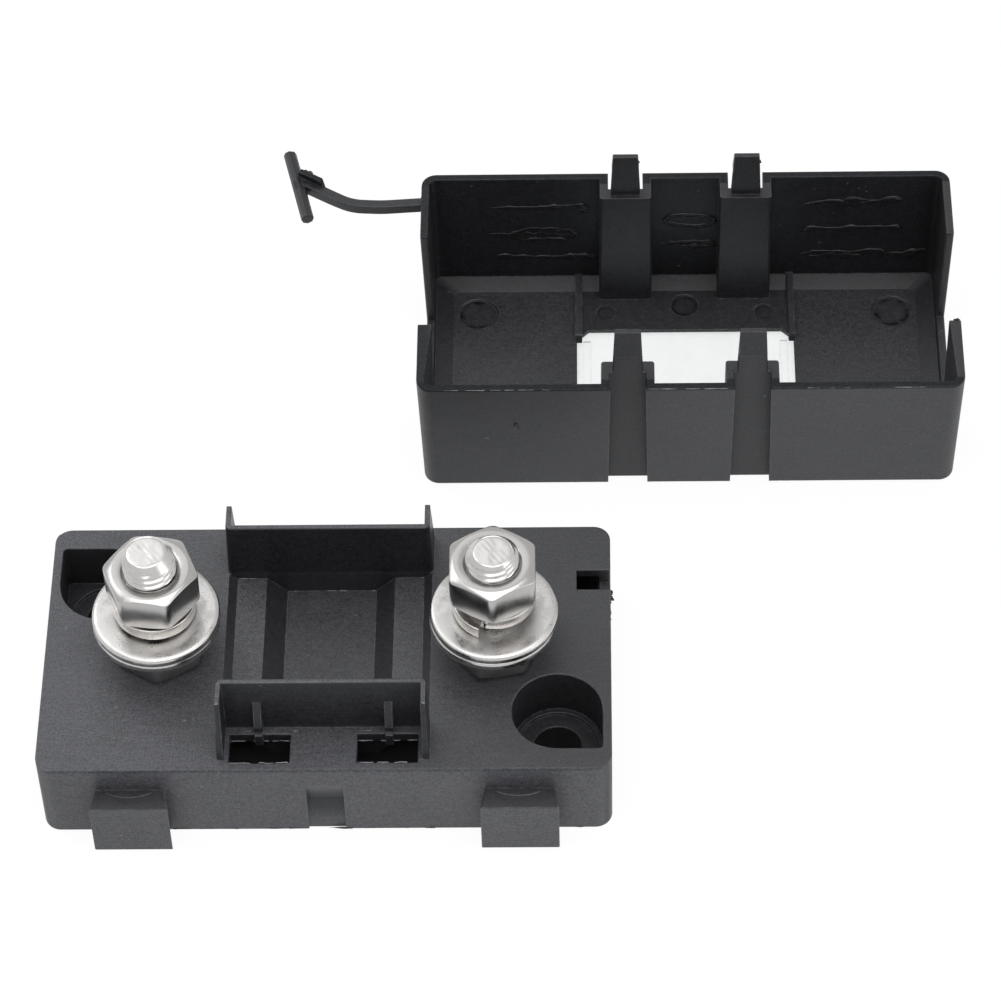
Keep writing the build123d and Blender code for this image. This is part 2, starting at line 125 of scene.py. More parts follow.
# %% Sockets that do arithmetic
class Wire:
    """One output socket of a finish. Arithmetic on it adds Math nodes."""

    def __init__(self, finish, socket):
        self.finish, self.socket = finish, socket

    def math(self, operation, *values):
        """One Math node."""
        return self.finish.node("ShaderNodeMath", {"operation": operation}, dict(enumerate(values)))

    def most(self, other):
        """The larger of two values, which joins two masks."""
        return self.math("MAXIMUM", self, other)

    def __add__(self, other):
        return self.math("ADD", self, other)

    def __sub__(self, other):
        return self.math("SUBTRACT", self, other)

    def __rsub__(self, other):
        return self.math("SUBTRACT", other, self)

    def __mul__(self, other):
        return self.math("MULTIPLY", self, other)

    __radd__, __rmul__ = __add__, __mul__

    def ramp(self, start, end, low=0.0, high=1.0):
        """Goes smoothly from low to high while this value goes from start to end."""
        values = {0: self, 1: start, 2: end, 3: low, 4: high}
        return self.finish.node("ShaderNodeMapRange", {"interpolation_type": "SMOOTHSTEP"}, values)


class Finish:
    """A material, or the world, whose nodes are added one call at a time."""

    def __init__(self, name, world=None):
        self.material = world or bpy.data.materials.new(name)
        self.material.use_nodes = True
        self.tree = self.material.node_tree
        self.tree.nodes.clear()

    def node(self, kind, settings=None, inputs=None, output=0):
        """Adds a node, fills its sockets and returns one of its outputs."""
        made = self.tree.nodes.new(kind)
        for name, value in (settings or {}).items():
            setattr(made, name, value)
        for name, value in (inputs or {}).items():
            if isinstance(value, Wire):
                self.tree.links.new(value.socket, made.inputs[name])
            else:
                made.inputs[name].default_value = value
        return None if output is None else Wire(self, made.outputs[output])

    def place(self):
        """Where a point is on its own piece, in metres."""
        return self.node("ShaderNodeTexCoord", output="Object")

    def vector(self, operation, first, second, output=0):
        """One Vector Math node."""
        return self.node("ShaderNodeVectorMath", {"operation": operation}, {0: first, 1: second}, output)

    def length(self, first, second):
        """How far two places are apart."""
        return self.vector("DISTANCE", first, second, "Value")

    def level(self):
        """The place as seen from above, with its height taken away."""
        return self.vector("MULTIPLY", self.place(), (1, 1, 0))

    def stretched(self, scale):
        """The same place with its axes scaled, for streaks and brush marks."""
        return self.vector("MULTIPLY", self.place(), scale)

    def noise(self, scale, detail=2.0, roughness=0.5, place=None):
        """Soft random values about 0.5, with features 1 / scale metres wide."""
        return self.node("ShaderNodeTexNoise", {}, {
            "Vector": place or self.place(), "Scale": scale, "Detail": detail, "Roughness": roughness})

    def parts(self, vector):
        """The three numbers of a vector, each as its own value."""
        split = self.node("ShaderNodeSeparateXYZ", {}, {0: vector}).socket.node
        return [Wire(self, socket) for socket in split.outputs]

    def value(self, number):
        """A plain number that can be joined to masks."""
        made = self.node("ShaderNodeValue")
        made.socket.default_value = number
        return made

    def tinted(self, colour, factor):
        """The same colour, made darker or lighter."""
        return self.vector("MULTIPLY", colour, (factor, factor, factor))

    def mix(self, factor, first, second):
        """A colour between first and second."""
        return self.node("ShaderNodeMix", {"data_type": "RGBA"}, {0: factor, 6: first, 7: second}, 2)

    def bump(self, height, distance, strength=1.0, normal=None):
        """Bends the light as if the surface rose by height times distance."""
        inputs = {"Height": height, "Distance": distance, "Strength": strength}
        if normal:
            inputs["Normal"] = normal
        return self.node("ShaderNodeBump", {}, inputs)

    def edges(self, radius, start, end):
        """1 where an edge is near: there a rounded normal leaves the true one."""
        rounded = self.node("ShaderNodeBevel", {"samples": 4}, {"Radius": radius})
        flat = self.node("ShaderNodeNewGeometry", output="Normal")
        return (1 - self.vector("DOT_PRODUCT", rounded, flat, "Value")).ramp(start, end)

    def principled(self, inputs):
        """One Principled shader."""
        return self.node("ShaderNodeBsdfPrincipled", {}, inputs)

    def blended(self, factor, first, second):
        """A shader between first and second."""
        return self.node("ShaderNodeMixShader", {}, {0: factor, 1: first, 2: second})

    def output(self, shader, kind="ShaderNodeOutputMaterial"):
        """Ends the finish with its shader, and returns the material."""
        self.node(kind, {}, {"Surface": shader}, None)
        return self.material


def grey(value, warmth=0.0):
    """A near-neutral colour: warmer than grey, or bluer where warmth is below 0."""
    return (value * (1 + max(warmth, 0)), value, value * (1 - warmth), 1)


# %% [markdown]
# ## Charcoal plastic
# Glass-filled nylon comes out of a spark-eroded mould with a fine grain, and
# it is nearly black: what is seen of it is mostly its sheen. Faces that catch
# the most light are painted a lighter grey: painted light. Edges are painted
# paler in patches: partly rubbed wear, partly painted highlight. Rims were
# polished in the mould, so they keep almost no sheen, and the same darker,
# less shiny finish is put on inner walls and hollows as painted shade.


# %% Moulded plastic
BLUISH = -0.12


def scratch(finish, start, end, width):
    """1 along the line from start to end, in millimetres, and 0 beside it."""
    a, b = Vector(start) * MM, Vector(end) * MM
    along = b - a
    here = finish.vector("SUBTRACT", finish.place(), a)
    share = finish.vector("DOT_PRODUCT", here, along / along.length_squared, "Value")
    share = share.math("MINIMUM", share.most(0.0), 1.0)
    nearest = finish.node("ShaderNodeVectorMath", {"operation": "SCALE"}, {0: along, "Scale": share})
    return finish.length(here, nearest).ramp(width * 0.35 * MM, width * MM, 1.0, 0.0)


def disc(finish, centre, radius, soft):
    """1 inside a round mark, seen from above, and 0 outside it."""
    gap = finish.length(finish.level(), (centre[0] * MM, centre[1] * MM, 0))
    return gap.ramp((radius - soft) * MM, radius * MM, 1.0, 0.0)


def pin_marks(finish, discs):
    """Round marks with a darker ring, where ejector pins pressed on the hot plastic."""
    pressed = finish.value(0.0)
    for centre, radius in discs:
        whole = disc(finish, centre, radius, 0.35)
        ring = whole - disc(finish, centre, radius * 0.85, radius * 0.3)
        pressed = pressed.most(ring * 0.9 + whole * 0.35)
    return pressed


def scuffs_and_glints(finish, marks, rub):
    """Scattered specks, the scratches that the photograph shows, and painted highlights along a few edges."""
    worn = finish.noise(1500, 0.0).ramp(0.83, 0.85) * finish.noise(140, 1.0).ramp(0.58, 0.63) * 0.2
    for start, end, width, strength in marks:
        worn = worn.most(scratch(finish, start, end, width) * (rub * 0.4 + 0.6) * strength)
    return worn


def moulded_plastic(name, tone, patch_tone, edge_wear_and_highlight_tone, grain, roughness, density,
                    painted_light=None, gloss_and_shade=None, marks=(), discs=()):
    """A grained moulding with painted light, painted shade, paler edges and marks."""
    finish = Finish(name)
    rub = finish.noise(650, 3.0, 0.65).ramp(0.36, 0.66, 0.2, 1.0)
    # Paler edges, broken up where rubbed: partly edge wear, partly a painted highlight.
    edge = finish.edges(0.0003, 0.006, 0.11) * rub
    fine = finish.noise(3800, 2.0, 0.75)
    coarse = finish.noise(1300, 3.0, 0.6)
    cloud = finish.noise(60, 3.0, 0.55)
    streak = finish.noise(1.0, 3.0, 0.6, finish.stretched((300, 2600, 2600)))
    x, y, z = (part * (1 / MM) for part in finish.parts(finish.place()))
    up = finish.parts(finish.node("ShaderNodeNewGeometry", output="Normal"))[2]

    # Painted light: faces that catch the most light get the lighter patch tone.
    painted_lit = painted_light(x, y, z, up) if painted_light else 0.0
    base = finish.mix(painted_lit, grey(tone, BLUISH), grey(patch_tone, BLUISH))
    grainy = (fine - 0.5) * grain + (coarse - 0.5) * (grain * 0.35) + (streak - 0.5) * (grain * 0.22)
    shade = ((cloud - 0.5) * 0.35 + grainy).ramp(-0.6, 0.6)
    base = finish.mix(shade, finish.tinted(base, 0.25), finish.tinted(base, 1.9))
    base = finish.mix(edge, base, grey(edge_wear_and_highlight_tone, BLUISH))
    pressed = pin_marks(finish, discs) * (rub * 0.8)
    base = finish.mix(pressed, base, grey(tone * 0.3, BLUISH))
    base = finish.mix(scuffs_and_glints(finish, marks, rub), base, grey(0.42))

    normal = finish.bump(fine * 0.6 + coarse * 0.4, 0.00005, 0.6)
    normal = finish.bump(cloud, 0.0005, 0.3, normal)
    rough = roughness + (coarse - 0.5) * 0.3 - edge * 0.06
    sheen = finish.principled({"Base Color": base, "Normal": normal, "Roughness": rough,
                               "IOR": density, "Specular Tint": (0.96, 0.98, 1.0, 1)})
    black = finish.principled({"Base Color": base, "Normal": normal, "Roughness": 0.30,
                               "IOR": 1.25, "Specular Tint": (0.80, 0.94, 1.0, 1)})
    # A darker, less shiny shader: real polish on rims and pin marks, painted shade in shaded places.
    gloss_and_shade_share = (gloss_and_shade(x, y, z, up) if gloss_and_shade else 0.0) + pressed
    return finish.output(finish.blended(gloss_and_shade_share.math("MINIMUM", gloss_and_shade_share, 1.0), sheen, black))


# %% [markdown]
# ## Where the plastic is painted light or shade, polished or marked
# Each mask takes the place in millimetres, and how far the face looks up.


# %% Masks of the two mouldings
def base_painted_light(x, y, z, up):
    """Painted light on faces that catch it: the deck, more to the left, away from the cover's shade, the front
    face and tabs, and the floor of the trough.
    """
    deck = up.ramp(0.85, 0.97) * z.ramp(10.0, DECK - 0.3) * x.ramp(-5.0, 42.0, 1.0, 0.15)
    front = y.ramp(BASE_FRONT + 0.8, BASE_FRONT + 0.2) * up.ramp(0.5, 0.2) * 0.9
    trough = up.ramp(0.97, 0.99) * z.ramp(TROUGH - 0.4, TROUGH - 0.2) * z.ramp(TROUGH + 0.4, TROUGH + 0.1) * 0.4
    return deck.most(front + trough)


def base_painted_shade(x, y, z, up):
    """Painted shade: inside the retainers, down in the pockets, and just below the deck's front edge."""
    retainers = z.ramp(DECK + 0.1, DECK + 0.9) * up.ramp(0.5, 0.2) * 0.55
    pockets = z.ramp(9.8, 8.0) * y.ramp(BASE_FRONT + 0.1, BASE_FRONT + 1.5) * 0.5
    below = z.ramp(DECK - 0.75, DECK - 0.6) * z.ramp(DECK - 0.12, DECK - 0.25)
    return retainers + pockets + below * y.ramp(BASE_FRONT + 0.5, BASE_FRONT + 0.25) * 0.75


def cover_painted_light(x, y, z, up):
    """Painted light: the outside of the front wall, more to the right, and the floor at both ends, away from the
    shade in the middle.
    """
    front = y.ramp(COVER_FRONT + 1.7, COVER_FRONT + 0.9) * x.ramp(10.0, 60.0, 0.1, 0.8)
    aside = x.math("ABSOLUTE", x - COVER_X).ramp(15.0, 19.0)
    floor = up.ramp(0.985, 0.998) * z.ramp(3.2, 2.6) * aside * 0.8
    return (front * z.ramp(COVER_RIM, COVER_RIM - 0.4)).most(floor)


def cover_gloss_and_shade(x, y, z, up):
    """Polish on the rims; painted shade on the back wall's inner face, a little on the back pillars, and on the
    front's left.
    """
    rim = y.ramp(45.4, 44.9).most(y.ramp(87.1, 87.3)).most(x.ramp(14.9, 14.5) * 0.8)
    rim = rim * z.ramp(COVER_RIM - 0.45, COVER_RIM - 0.2) * 0.9
    back_wall = y.ramp(87.0, 87.4) * y.ramp(89.2, 88.9) * z.ramp(COVER_RIM - 0.3, COVER_RIM - 0.5) * 0.6
    pillars = y.ramp(82.0, 83.0) * y.ramp(87.0, 86.8) * up.ramp(0.5, 0.3) * z.ramp(2.5, 3.0) * 0.28
    left = y.ramp(COVER_FRONT + 1.7, COVER_FRONT + 0.9) * x.ramp(45.0, 12.0) * 0.22
    return rim + back_wall + pillars + left


# %% Scratches, painted edge highlights, pin marks and the four plastics
BASE_MARKS = [
    ((-36.0, -2.9, 15.5), (-35.8, -2.7, 15.5), 0.15, 0.35),
    ((-40.2, 3.6, 15.5), (-40.3, 3.9, 15.5), 0.15, 0.3),
    ((-31.8, -11.4, 15.5), (-31.5, -11.3, 15.5), 0.16, 0.35),
    ((-21.2, -13.9, 15.5), (-21.0, -13.8, 15.5), 0.17, 0.4),
    ((-30.5, -18.4, 15.5), (-27.9, -14.6, 15.5), 0.16, 0.06),
    ((-22.8, -21.5, 15.5), (-22.4, -15.4, 15.5), 0.16, 0.06),
    ((-31.7, -17.7, 15.5), (-31.1, -16.1, 15.5), 0.16, 0.05),
    ((-3.4, 1.5, 11.2), (-3.1, 1.6, 11.2), 0.14, 0.25),
    ((-3.4, 11.5, 11.2), (-2.7, 11.9, 11.2), 0.12, 0.12),
    ((3.6, 9.2, 11.2), (3.9, 9.1, 11.2), 0.14, 0.25),
    # Painted highlights: pale lines where the front retainer's top edges and corners catch the light.
    ((-15.6, -18.9, 26.3), (-15.2, -18.8, 26.4), 0.22, 0.7),
    ((15.6, -18.9, 26.3), (15.2, -18.8, 26.4), 0.22, 0.7),
    ((-15.6, -18.9, 26.2), (-15.7, -20.0, 21.0), 0.13, 0.25),
    ((-15.6, -15.0, 26.4), (15.6, -14.6, 26.4), 0.10, 0.12),
    ((-31.0, -26.6, 3.8), (-30.8, -26.6, 3.8), 0.16, 0.5),
    ((32.0, -26.6, 4.8), (32.2, -26.6, 4.9), 0.14, 0.3)]
COVER_MARKS = [
    ((63.5, 43.5, 9.3), (63.7, 43.5, 9.3), 0.15, 0.4),
    ((84.0, 43.4, 12.8), (84.6, 43.4, 12.9), 0.2, 0.5),
    ((75.8, 43.8, 4.5), (76.1, 43.8, 4.5), 0.15, 0.3),
    ((89.4, 55.0, 2.2), (89.6, 55.3, 2.2), 0.15, 0.5),
    ((90.0, 56.0, 2.2), (90.3, 56.1, 2.2), 0.13, 0.4)]
PINS = [(-34.35, 13.2, 3.2), (34.35, 13.2, 3.2), (-13.1, 13.4, 1.6), (13.1, 13.4, 1.6), (0, 14.8, 2.4)]
PIN_MARKS = [((COVER_X + x, COVER_Y + y), radius) for x, y, radius in PINS]

BASE_PLASTIC = moulded_plastic(
    "base_plastic", tone=0.018, patch_tone=0.061, edge_wear_and_highlight_tone=0.15, grain=1.9, roughness=0.50, density=1.60,
    painted_light=base_painted_light, gloss_and_shade=base_painted_shade, marks=BASE_MARKS)
# The cover's tones are lower than the base's: painted shade, as it stands further back and gets less light.
COVER_PLASTIC = moulded_plastic(
    "cover_plastic", tone=0.014, patch_tone=0.030, edge_wear_and_highlight_tone=0.10, grain=1.8, roughness=0.46, density=1.55,
    painted_light=cover_painted_light, gloss_and_shade=cover_gloss_and_shade, marks=COVER_MARKS, discs=PIN_MARKS)
GLOSSY_PLASTIC = moulded_plastic(
    "remelted_plastic", tone=0.010, patch_tone=0.012, edge_wear_and_highlight_tone=0.05, grain=0.3, roughness=0.25, density=1.42)
PALE_PLASTIC = moulded_plastic(
    "torn_plastic", tone=0.20, patch_tone=0.20, edge_wear_and_highlight_tone=0.30, grain=2.5, roughness=0.45, density=1.5)
print("plastics", [m.name for m in (BASE_PLASTIC, COVER_PLASTIC, GLOSSY_PLASTIC, PALE_PLASTIC)])

# %% [markdown]
# ## Stainless steel
# Each fastener is worked in its own way, and the marks run with the work:
# rings on a washer that was tumbled and faced, streaks up a nut's flats,
# saw marks across a stud's end. So the steel finish takes the direction of
# its marks, and the pieces are built about their own axis for the rings.


# %% Steel
def steel(name, tone, roughness, rings=0.0, streaks=(1, 1, 1), streak_depth=0.0, frost=0.0, warmth=0.02):
    """Bright stainless with rings about the piece's axis, streaks and frosted patches."""
    finish = Finish(name)
    level = finish.level()
    # The frosting is made darker towards the back of each piece.
    behind = finish.parts(level)[1].ramp(-5 * MM, 4 * MM, 0.25, 1.3)
    radius = finish.vector("LENGTH", level, (0, 0, 0), "Value")
    ringed = finish.node("ShaderNodeCombineXYZ", {}, {0: radius * 4200, 1: 0.0, 2: 0.0})
    ring = finish.noise(1.0, 2.0, 0.6, ringed)
    streak = finish.noise(1.0, 3.0, 0.6, finish.stretched(streaks))
    patch_tone = finish.noise(230, 3.0, 0.6)
    frosting = finish.noise(3600, 2.0, 0.75)
    pits = finish.noise(1700, 1.0, 0.5).ramp(0.66, 0.74)
    patch = patch_tone.ramp(0.42, 0.62)
    tint = finish.mix(patch_tone.ramp(0.3, 0.7), grey(tone * 0.90, warmth), grey(tone, warmth * 0.6))
    dark = (1 - frosting) * (patch * 0.6 + 0.4) * (behind * frost)
    tint = finish.mix(dark.most(pits * (frost * 0.5)), tint, grey(tone * 0.30, warmth))
    normal = finish.bump(ring, 0.00004, rings)
    normal = finish.bump(streak, 0.00004, streak_depth, normal)
    normal = finish.bump(frosting, 0.00003, 0.12 + frost * 0.6, normal)
    rough = roughness + (patch_tone - 0.5) * 0.16 + patch * (frost * 0.2)
    return finish.output(finish.principled({
        "Base Color": tint, "Metallic": 1.0, "Roughness": rough, "Normal": normal}))


STUD_STEEL = steel("stud_steel", 0.66, 0.24, streaks=(2500, 400, 2500), streak_depth=0.25, frost=0.15)
NUT_STEEL = steel("nut_steel", 0.50, 0.23, rings=0.10, streaks=(2600, 2600, 500), streak_depth=0.25, frost=0.08)
WASHER_STEEL = steel("washer_steel", 0.66, 0.24, rings=0.20, frost=0.85)
SPRING_STEEL = steel("spring_steel", 0.60, 0.26, rings=0.15, warmth=0.05, frost=0.1)
print("steels", [m.name for m in (STUD_STEEL, NUT_STEEL, WASHER_STEEL, SPRING_STEEL)])

# %% [markdown]
# ## Clear window
# The pane is a clear sheet, snapped into the plate of the cover. Glass that
# refracts is slow and dark in a small render, so it is a thin clear plastic:
# it lets nearly all light through and keeps a soft gloss. Its two low bands
# bend the light a little more, so they show as faint grey stripes.


# %% Clear plastic
def clear_plastic(name):
    """A thin clear sheet with a gloss, a little haze and greyer edges."""
    finish = Finish(name)
    haze = finish.noise(90, 3.0, 0.6)
    rim = finish.edges(0.0005, 0.02, 0.3)
    gloss = finish.principled({
        "Base Color": (0.90, 0.915, 0.92, 1), "Roughness": haze * 0.08 + 0.08, "IOR": 1.45})
    clear = finish.node("ShaderNodeBsdfTransparent", {}, {"Color": (0.97, 0.975, 0.975, 1)})
    mirrored = finish.node("ShaderNodeFresnel", {}, {"IOR": 1.45}) * 0.8
    solid = mirrored + haze.ramp(0.4, 0.7, 0.02, 0.06) + rim * 0.30
    return finish.output(finish.blended(solid, clear, gloss))


CLEAR_PLASTIC = clear_plastic("clear_plastic")
print("clear", CLEAR_PLASTIC.name)

# %% [markdown]
# ## Turning a shape into a piece
# Every piece ends the same way: it gets a finish, is shaded smooth with its
# sharp edges kept, rides on a CAD body, and hides the CAD node it stands for.


# %% Pieces
def piece(name, shape, material, body, slot, centre=(0, 0, 0), stands_for=None, sharp=35):
    """Makes an object of a bmesh whose points are in millimetres about centre."""
    bmesh.ops.recalc_face_normals(shape, faces=shape.faces)
    mesh = mesh_of(name, shape)
    made = add_object(name, mesh)
    made.location = Vector(centre) * MM
    mesh.materials.append(material)
    mesh.shade_smooth()
    mesh.set_sharp_from_angle(angle=radians(sharp))
    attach(made, body)
    if stands_for:
        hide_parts(stands_for)
    return made


def turns_of(count, start=0.0):
    """Even steps round a full turn."""
    return [2 * pi * i / count + start for i in range(count)]


def on_circle(angle, radius, height):
    """A point about the piece's own axis."""
    return (radius * cos(angle), radius * sin(angle), height)


def circle(angles, radius, height):
    """A level ring of points about the piece's own axis."""
    return [on_circle(a, radius, height) for a in angles]


def stitched(rings, shape, closed=True):
    """Joins rings of points, each ring a list of the same length, with quads."""
    rows = [[shape.verts.new(point) for point in ring] for ring in rings]
    pairs = list(zip(rows, rows[1:])) + ([(rows[-1], rows[0])] if closed else [])
    for low, high in pairs:
        count = len(low)
        for i in range(count):
            j = (i + 1) % count
            shape.faces.new((low[i], low[j], high[j], high[i]))
    return rows


# %% [markdown]
# ## Nuts
# A nut starts as a hexagon bar. Both faces are turned to a shallow cone, which
# leaves the arcs that run up each flat, and the corners are worn round. Every
# ring of the mesh follows the hexagon, and the cone decides how high a flat
# may reach. One more ring beside each edge rounds it, so that it catches light.

# %% Hexagon nuts
FLATS = 12.75
CORNER_RADIUS = 7.18
FACE_RADIUS = 5.77
CONE = tan(radians(22))
THREAD_STEP = 1.25
THREAD_RADIUS = 4.0
AROUND = 96
EDGE = 0.12
BORE_ROWS = 54


def hexagon(angle, turn):
    """How far the side of the hexagon is from its middle, in this direction."""
    side = FLATS / 2 / cos((angle - turn) % (pi / 3) - pi / 6)
    return min(side, CORNER_RADIUS)


def thread(angle, z, depth=0.60):
    """How deep a rolled thread is cut here: 0 on its rounded crest, depth at its root."""
    phase = (z / THREAD_STEP - angle / (2 * pi)) % 1
    return depth * (0.5 - 0.5 * cos(2 * pi * phase)) ** 0.8


def turned_face(angles, turn, level, up):
    """Rings from a turned face to its flanks. up is 1 for an upper face, -1 for a lower one."""
    rings = [circle(angles, FACE_RADIUS - 0.06, level), circle(angles, FACE_RADIUS + 0.08, level - up * 0.025)]
    for inward, down in ((EDGE, 0.0), (EDGE * 0.3, EDGE * 0.35), (0.0, EDGE * 1.1)):
        ring = []
        for a in angles:
            reach = hexagon(a, turn)
            cone = CONE * max(reach - inward - FACE_RADIUS, 0.08)
            ring.append(on_circle(a, reach - inward, level - up * (cone + down)))
        rings.append(ring)
    return rings


def add_nut(side, body, kind, x, turn):
    """One chamfered nut with a threaded bore, as high as its CAD node."""
    name = f"{kind}_nut_{side}"
    z, top = heights(name)
    turn = radians(turn)
    shape = bmesh.new()
    mouth = THREAD_RADIUS + 0.42
    angles = turns_of(AROUND, turn)
    rings = [circle(angles, mouth, z)] + turned_face(angles, turn, z, -1)
    rings += list(reversed(turned_face(angles, turn, top, 1)))
    rings += [circle(angles, mouth + 0.05, top), circle(angles, mouth, top - 0.02)]
    for i in range(BORE_ROWS + 1):
        height = top - 0.25 - (top - z - 0.5) * i / BORE_ROWS
        mouthing = max(0.0, 0.42 - min(top - height, height - z)) * 0.9
        bore = []
        for a in angles:
            radius = max(THREAD_RADIUS + 0.06 - thread(a, height), THREAD_RADIUS - 0.62 + mouthing * 1.6)
            bore.append(on_circle(a, radius, height))
        rings.append(bore)
    stitched(rings, shape)
    return piece(name, shape, NUT_STEEL, body, "nut_steel", (x, 0, 0), name, sharp=40)


STUD_PLACES = {"left": -25.5, "right": 25.5}
NUT_TURNS = {"left": (30, -7), "right": (10, 30)}
for side, x in STUD_PLACES.items():
    seat_turn, clamp_turn = NUT_TURNS[side]
    seat = add_nut(side, "holder", "seat", x, seat_turn)
    clamp = add_nut(side, side + "_nut", "clamp", x, clamp_turn)
    print("nuts", side, len(seat.data.polygons), len(clamp.data.polygons), "faces")

# %% [markdown]
# ## Studs
# Each stud is a hexagon bolt pushed up from below. Its thread is rolled, so
# the crests are round. A helix is hard to sweep without seams. Instead the
# shank is a fine tube whose radius follows the thread at each angle and height.
# The end was cut off with shears, so its flat is off centre and a little rough.

# %% Studs
HEAD_HEIGHT = 5.3
END_CHAMFER = 1.1
END_RINGS = (1.0, 0.985, 0.955, 0.9, 0.8, 0.68, 0.56, 0.44, 0.32, 0.2, 0.1)


def add_stud(side, x, seed, lean):
    """A bolt from its head, under the base, to the cut end of its thread."""
    shape = bmesh.new()
    foot, stud_top = heights("stud_" + side)
    head_top = foot + HEAD_HEIGHT
    angles = turns_of(AROUND)

    def limit(a, level):
        """How far the cut end lets the thread reach at this angle and height."""
        cone = THREAD_RADIUS - END_CHAMFER + (stud_top - level) * 0.95
        return cone + lean[0] * cos(a) + lean[1] * sin(a)

    rings = [circle(angles, 0.35, foot), circle(angles, 3.0, foot)] + turned_face(angles, 0, foot, -1)
    rings.append([on_circle(a, hexagon(a, 0), head_top) for a in angles])
    rings.append(circle(angles, THREAD_RADIUS - 0.1, head_top))
    step = THREAD_STEP / 12
    height = head_top + step
    while height < stud_top - 0.10:
        row = []
        for a in angles:
            row.append(on_circle(a, min(THREAD_RADIUS - thread(a, height), limit(a, height)), height))
        rings.append(row)
        height += step
    for share in END_RINGS:
        row = []
        for a in angles:
            radius = limit(a, stud_top) * share
            px, py = radius * cos(a), radius * sin(a)
            across = px * 0.8 + py * 0.6
            rough = 0.014 * sin(across * 8.0) + 0.07 * noise.noise(Vector((px * 0.8, py * 0.8, seed)))
            rolled = 0.10 * share ** 14
            row.append((px, py, stud_top - 0.07 + rough * (1 - share ** 6) - rolled))
        rings.append(row)
    rows = stitched(rings, shape, closed=False)
    shape.faces.new(rows[-1])
    shape.faces.new(list(reversed(rows[0])))
    name = "stud_" + side
    return piece(name, shape, STUD_STEEL, "holder", "stud_steel", (x, 0, 0), name, sharp=50)


STUD_ENDS = {"left": (3, (-0.30, 0.22)), "right": (8, (0.10, -0.05))}
for side, x in STUD_PLACES.items():
    stud = add_stud(side, x, *STUD_ENDS[side])
    print("stud", side, len(stud.data.polygons), "faces")

# %% [markdown]
# ## Flat washers
# A washer is punched from sheet. The punch drags the edge down on one side,
# so the upper rim is round and the lower one is sharp, with a torn band
# between. A lathe outline spun round the axis gives all of this.

# %% Flat washers
WASHER_RADIUS = 9.7
WASHER_BORE = 4.2
WASHER_SIDES = 144
ROLLED_RIM = ((0.01, 0.60), (0.06, 0.38), (0.17, 0.19), (0.34, 0.08), (0.60, 0.022), (1.00, 0.0))
BORE_MOUTH = ((0.45, 0.0), (0.20, 0.05), (0.04, 0.18), (0.0, 0.4))


def add_washer(side, level, body, x, seed, shift):
    """One punched washer with a rolled upper rim and an uneven edge."""
    name = f"{level}_washer_{side}"
    z, top = heights(name)
    shape = bmesh.new()
    outline = [(WASHER_BORE + 0.12, z), (WASHER_RADIUS - 0.16, z), (WASHER_RADIUS - 0.05, z + 0.05),
               (WASHER_RADIUS, z + 0.16)]
    outline += [(WASHER_RADIUS - inward, top - down) for inward, down in ROLLED_RIM]
    outline.append((7.2, top - 0.012))
    outline += [(WASHER_BORE + out, top - down) for out, down in BORE_MOUTH]
    outline.append((WASHER_BORE, z + 0.15))
    rings = []
    for radius, height in outline:
        row = []
        for a in turns_of(WASHER_SIDES):
            wave = noise.noise(Vector((cos(a) * 1.5, sin(a) * 1.5, seed)))
            out = radius + (0.05 * wave - 0.03 if radius > 9 else 0.0)
            row.append(on_circle(a, out, height))
        rings.append(row)
    stitched(rings, shape)
    centre = (x + shift[0], shift[1], 0)
    return piece(name, shape, WASHER_STEEL, body, "washer_steel", centre, name, sharp=50)


SHIFTS = {"left": ((0, 0), (0.05, -0.17)), "right": ((-0.17, 0.03), (0, 0))}
WASHER_SEEDS = {"left": (11, 15), "right": (23, 27)}
for side, x in STUD_PLACES.items():
    low_seed, high_seed = WASHER_SEEDS[side]
    low_shift, high_shift = SHIFTS[side]
    low = add_washer(side, "lower", "holder", x, low_seed, low_shift)
    high = add_washer(side, "upper", side + "_clamp", x, high_seed, high_shift)
    print("washers", side, len(low.data.polygons), len(high.data.polygons))

# %% [markdown]
# ## Spring washers
# One coil of square wire, cut where it would meet itself. The cut ends stand
# at different heights, which is what bites into the nut. The section is
# swept by hand round the coil, with its corners rounded by the rolling.

# %% Spring washers
SPRING_BORE = 4.15
SPRING_WIRE = 2.1
SPRING_GAP = 14.0
SPRING_STEPS = 110
CUTS = {"left": 62, "right": -104}


def add_spring_washer(side, x, gap):
    """A left-handed coil from its low end to its high end, with both cut faces closed."""
    name = "spring_washer_" + side
    foot, top = heights(name)
    rise = top - foot - SPRING_WIRE
    shape = bmesh.new()
    half, corner = SPRING_WIRE / 2, 0.24
    section = []
    for cx, cz, start in ((1, 1, 0), (-1, 1, 90), (-1, -1, 180), (1, -1, 270)):
        for step in range(4):
            a = radians(start + 30 * step)
            section.append((cx * (half - corner) + corner * cos(a),
                            cz * (half - corner) + corner * sin(a)))
    rings = []
    for i in range(SPRING_STEPS + 1):
        share = i / SPRING_STEPS
        turned = radians(gap - SPRING_GAP / 2 - (360 - SPRING_GAP) * share)
        middle = foot + half + rise * share
        rings.append([on_circle(turned, SPRING_BORE + half + out, middle + up) for out, up in section])
    rows = stitched(rings, shape, closed=False)
    shape.faces.new(list(reversed(rows[0])))
    shape.faces.new(rows[-1])
    return piece(name, shape, SPRING_STEEL, side + "_clamp", "spring_steel", (x, 0, 0), name, sharp=38)


for side, x in STUD_PLACES.items():
    coil = add_spring_washer(side, x, CUTS[side])
    print(coil.name, [round(h, 2) for h in heights("spring_washer_" + side)])

# %% [markdown]
# ## The two mouldings
# The CAD solids have knife edges. A real mould can't, so each moulding is
# shown by a copy whose outer edges are rounded over by a quarter millimetre,
# and by three times as much at the tips of the back retainers.
# Where two edges lie closer than that, a bevel folds over itself. So it is
# tried a few times, and each time the edges beside a fold get half as much.


